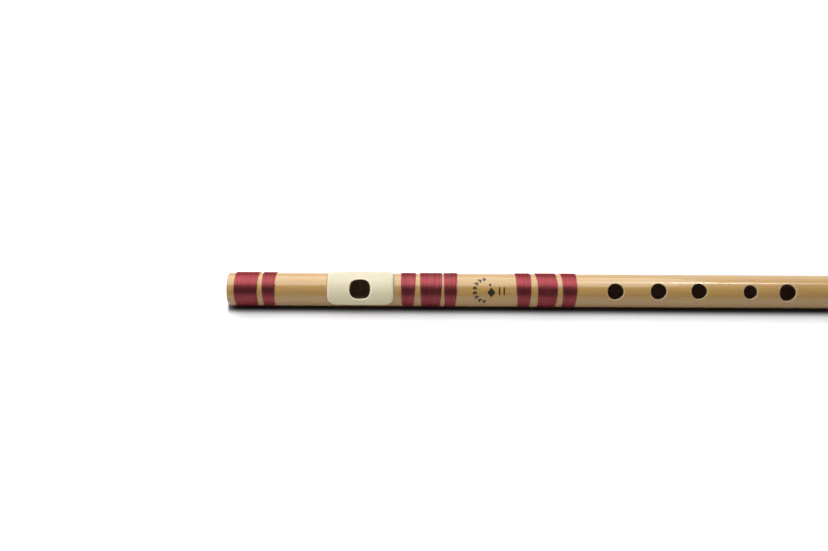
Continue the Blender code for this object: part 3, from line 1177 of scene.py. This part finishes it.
@dataclass(frozen=True)
class Ornament:
    """A printed ornament before the hand bindings: a half wreath, a lozenge with a dot, and two bars."""

    centre: float = 147.5 * MM
    wreath_radius: float = 7.0 * MM
    pairs: int = 8
    leaf_length: float = 2.1 * MM
    leaf_width: float = 1.0 * MM
    leaf_lean: float = math.radians(32)
    leaf_offset: float = 0.62 * MM
    leaf_squareness: float = 1.5
    stem_width: float = 0.24 * MM
    stem_steps_each_pair: int = 6
    lozenge: tuple[float, ...] = (150.0 * MM, -1.1 * MM, 2.3 * MM, 2.9 * MM)
    dot: tuple[float, ...] = (149.3 * MM, 3.3 * MM, 0.75 * MM, 0.75 * MM)
    bars: tuple[tuple[float, ...], ...] = (
        (154.6 * MM, -0.4 * MM, 0.4 * MM, 2.4 * MM),
        (157.2 * MM, -0.4 * MM, 0.4 * MM, 2.4 * MM),
    )
    bar_squareness: float = 5.0
    points: int = 20
    film: float = 0.02 * MM
    longest_edge: float = 0.7 * MM
    halvings: int = 3

    def outline(self, shape: tuple[float, ...], squareness: float, turn: float = 0.0) -> list[Point]:
        """Returns a superellipse as places along and round the pipe.

        Args:
            shape: its middle along and round the pipe, and its half sizes.
            squareness: how square it is.
            turn: how far it is turned.

        Returns:
            Its points.
        """
        place, around, half_along, half_around = shape
        c, s = math.cos(turn), math.sin(turn)
        points = superellipse(half_along, half_around, squareness, self.points)
        return [(place + x * c - y * s, around + x * s + y * c) for x, y in points]

    def stem(self) -> list[Point]:
        """Returns the outline of the wreath's thin stem, out along one side and back along the other."""
        steps = self.stem_steps_each_pair * self.pairs
        angles = [math.pi / 2 + math.pi * i / steps for i in range(steps + 1)]
        inner, outer = self.wreath_radius - self.stem_width / 2, self.wreath_radius + self.stem_width / 2
        out = [(self.centre + inner * math.cos(a), inner * math.sin(a)) for a in angles]
        return out + [(self.centre + outer * math.cos(a), outer * math.sin(a)) for a in reversed(angles)]

    def shapes(self) -> list[list[Point]]:
        """Returns the outlines of every printed shape."""
        shapes = [self.stem()]
        for i in range(self.pairs):
            angle = math.pi / 2 + math.pi * (i + 0.5) / self.pairs
            for side in (-1, 1):
                radius = self.wreath_radius + side * self.leaf_offset
                place, around = self.centre + radius * math.cos(angle), radius * math.sin(angle)
                leaf = (place, around, self.leaf_length / 2, self.leaf_width / 2)
                turn = angle + math.pi / 2 - side * self.leaf_lean
                shapes.append(self.outline(leaf, self.leaf_squareness, turn))
        shapes.append(self.outline(self.lozenge, 1.0))
        shapes.append(self.outline(self.dot, 2.0))
        return shapes + [self.outline(bar, self.bar_squareness) for bar in self.bars]

    def build(self, surface: float) -> Piece:
        """Returns the finished print, a thin film on a surface of a radius."""
        bm = bmesh.new()
        for outline in self.shapes():
            bm.faces.new([bm.verts.new((place, around, 0.0)) for place, around in outline])
        bmesh.ops.triangulate(bm, faces=bm.faces)
        for _ in range(self.halvings):
            long_edges = [edge for edge in bm.edges if edge.calc_length() > self.longest_edge]
            bmesh.ops.subdivide_edges(bm, edges=long_edges, cuts=1)
            bmesh.ops.triangulate(bm, faces=bm.faces)
        top = bmesh.ops.extrude_face_region(bm, geom=list(bm.faces))
        for item in top["geom"]:
            if isinstance(item, bmesh.types.BMVert):
                item.co.z = 1.0
        for vert in bm.verts:
            radius = surface + (self.film if vert.co.z > 0 else -self.film)
            vert.co = on_tube(vert.co.x, radius, vert.co.y / surface)
        bmesh.ops.recalc_face_normals(bm, faces=bm.faces)
        piece = finished("printed_ornament", bm)
        piece.data.materials.append(PadPrintedInk().material())
        return piece


@dataclass(frozen=True)
class Panel:
    """One soft lamp, level along the flute and facing its axis. A strip is seen in glosses alone."""

    name: str
    place: tuple[float, float, float]
    length: float
    depth: float
    power: float
    colour: str = "FFFFFF"
    strip: bool = True

    def hang(self) -> None:
        """Hangs the lamp."""
        lamp = bpy.data.lights.new(self.name, "AREA")
        lamp.shape = "RECTANGLE"
        lamp.size, lamp.size_y = self.length, self.depth
        lamp.energy = self.power
        lamp.color = linear(self.colour)[:3]
        hung = bpy.data.objects.new(self.name, lamp)
        hung.location = self.place
        target = Vector((self.place[0], 0.0, LIE.axis_height))
        hung.rotation_euler = (target - Vector(self.place)).to_track_quat("-Z", "Y").to_euler()
        bpy.context.scene.collection.objects.link(hung)
        hung.visible_diffuse = not self.strip


PANELS = (
    Panel("overhead_panel", (-0.605, 0.31, 0.85), 2.01, 1.3, 23.2, "FFFEF9", strip=False),
    Panel("short_strip", (0.35, 0.2, 0.71), 0.17, 0.03, 0.58),
    Panel("long_strip", (0.335, 0.2, 0.71), 0.43, 0.03, 0.56),
)


@dataclass(frozen=True)
class Studio:
    """The paper floor, the lamps, the world and the camera at the photograph's angle."""

    axis_distance: float = 450 * MM
    elevation: float = math.radians(45)
    aim_place: float = -97.0 * MM
    aim_above_axis: float = 8.3 * MM
    camera_roll: float = math.radians(0.3)
    lens: float = 33.9
    sensor: float = 36.0
    clip: Point = (0.01, 20.0)
    floor_size: float = 8.0
    front_white_height: float = 0.0
    back_white_height: float = 0.63
    side_blend: float = 0.1
    top_blend: float = 0.12
    dim_gloss: float = 0.12
    dim_light: float = 0.14

    def build_floor(self) -> None:
        """Lays the paper."""
        half = self.floor_size / 2
        corners = [(-half, -half, 0), (half, -half, 0), (half, half, 0), (-half, half, 0)]
        mesh = bpy.data.meshes.new("paper")
        mesh.from_pydata(corners, [], [(0, 1, 2, 3)])
        paper = bpy.data.objects.new("paper", mesh)
        paper.data.materials.append(PaperSweep().material())
        bpy.context.scene.collection.objects.link(paper)

    def build_world(self) -> None:
        """Sets a dim studio round a white sweep."""
        world = bpy.data.worlds.new("studio")
        world.use_nodes = True
        tree = world.node_tree
        tree.nodes.clear()
        path = add_node(tree, "ShaderNodeLightPath").outputs
        paths = {0: path["Is Camera Ray"], 1: path["Is Transmission Ray"]}
        seen = add_node(tree, "ShaderNodeMath", paths, operation="MAXIMUM")
        direction = add_node(tree, "ShaderNodeTexCoord").outputs["Generated"]
        parts = add_node(tree, "ShaderNodeSeparateXYZ", {0: direction}).outputs
        heights = (self.front_white_height, self.back_white_height)
        turned = limits((-self.side_blend, self.side_blend), heights)
        top_of_white = add_node(tree, "ShaderNodeMapRange", {"Value": parts[1], **turned})
        above = add_node(tree, "ShaderNodeMath", {0: parts[2], 1: top_of_white}, operation="SUBTRACT")
        fade = {"Value": above, **limits((0.0, self.top_blend), (1.0, self.dim_gloss))}
        sweep = add_node(tree, "ShaderNodeMapRange", fade, interpolation_type="SMOOTHSTEP")
        glossy = add_node(tree, "ShaderNodeMath", {0: sweep, 1: path["Is Glossy Ray"]}, operation="MULTIPLY")
        bright = add_node(tree, "ShaderNodeMath", {0: seen, 1: glossy}, operation="MAXIMUM")
        strength = add_node(tree, "ShaderNodeMath", {0: bright, 1: self.dim_light}, operation="MAXIMUM")
        light = {"Color": (1.0, 1.0, 1.0, 1.0), "Strength": strength}
        add_node(tree, "ShaderNodeOutputWorld", {0: add_node(tree, "ShaderNodeBackground", light)})
        bpy.context.scene.world = world

    def build_camera(self) -> None:
        """Stands the camera where the photograph was taken from."""
        look = Vector((0.0, math.cos(self.elevation), -math.sin(self.elevation)))
        up = Vector((0.0, math.sin(self.elevation), math.cos(self.elevation)))
        axis = Vector((self.aim_place, LIE.axis_offset, LIE.axis_height))
        lens = bpy.data.cameras.new("camera")
        lens.lens = self.lens
        lens.sensor_width = self.sensor
        lens.sensor_fit = "HORIZONTAL"
        lens.clip_start, lens.clip_end = self.clip
        camera = bpy.data.objects.new("camera", lens)
        camera.location = axis + up * self.aim_above_axis - look * self.axis_distance
        turn = look.to_track_quat("-Z", "Y").to_matrix()
        camera.rotation_euler = (turn @ Matrix.Rotation(self.camera_roll, 3, "Z")).to_euler()
        bpy.context.scene.collection.objects.link(camera)
        bpy.context.scene.camera = camera

    def build(self) -> None:
        """Builds the whole studio."""
        self.build_camera()
        self.build_floor()
        for panel in PANELS:
            panel.hang()
        self.build_world()
        bpy.context.scene.view_settings.view_transform = "Standard"


def main() -> None:
    """Builds the studio and every piece, in order."""
    logging.basicConfig(level=logging.INFO, format="%(name)s: %(message)s")
    Studio().build()
    tube = Tube()
    hand_over(tube.build(), Body.FLUTE, Slot.TUBE, "flute_tube")
    hand_over(LipPlate().build(), Body.FLUTE, Slot.LIP_PLATE, "lip_plate")
    hand_over(Stopper().build(), Body.STOPPER, Slot.CORK, "cork_stopper")
    winder = ThreadWinder()
    for winding in WINDINGS:
        hand_over(winder.wind(winding), Body.FLUTE, Slot.THREAD, winding.name)
    hand_over(Ornament().build(tube.radius), Body.FLUTE, Slot.TUBE)


if __name__ == "__main__":
    main()
